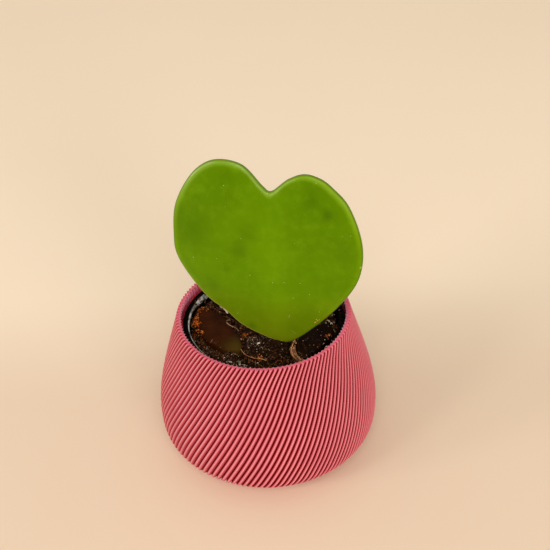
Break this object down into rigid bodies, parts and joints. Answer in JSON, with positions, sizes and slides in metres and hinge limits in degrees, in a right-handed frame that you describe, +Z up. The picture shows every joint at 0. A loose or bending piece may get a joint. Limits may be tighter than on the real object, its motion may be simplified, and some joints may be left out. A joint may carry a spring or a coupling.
{
  "type": "potted hoya plant",
  "caption": "Heart-shaped succulent hoya leaf rooted in soil in a small nursery pot, standing in a ribbed, twisted planter with a narrowed mouth.",
  "frame": {"origin": "centre of the planter's flat base, on the surface it stands on", "axes": "+Z up, the leaf's broad face looks towards -Y, turned 14 degrees towards -X, and +X is to the right seen from the front"},
  "size_m": [0.0842, 0.0842, 0.122],
  "materials": {
    "planter": "matte",
    "nursery_pot": "satin",
    "potting_soil": "matte",
    "husk": "matte",
    "leaf": "satin"
  },
  "bodies": {
    "root": {"planter": "planter", "nursery_pot": "nursery_pot", "potting_soil": "potting_soil", "husk_left": "husk", "husk_middle": "husk", "husk_right": "husk", "leaf": "leaf"}
  },
  "joints": []
}
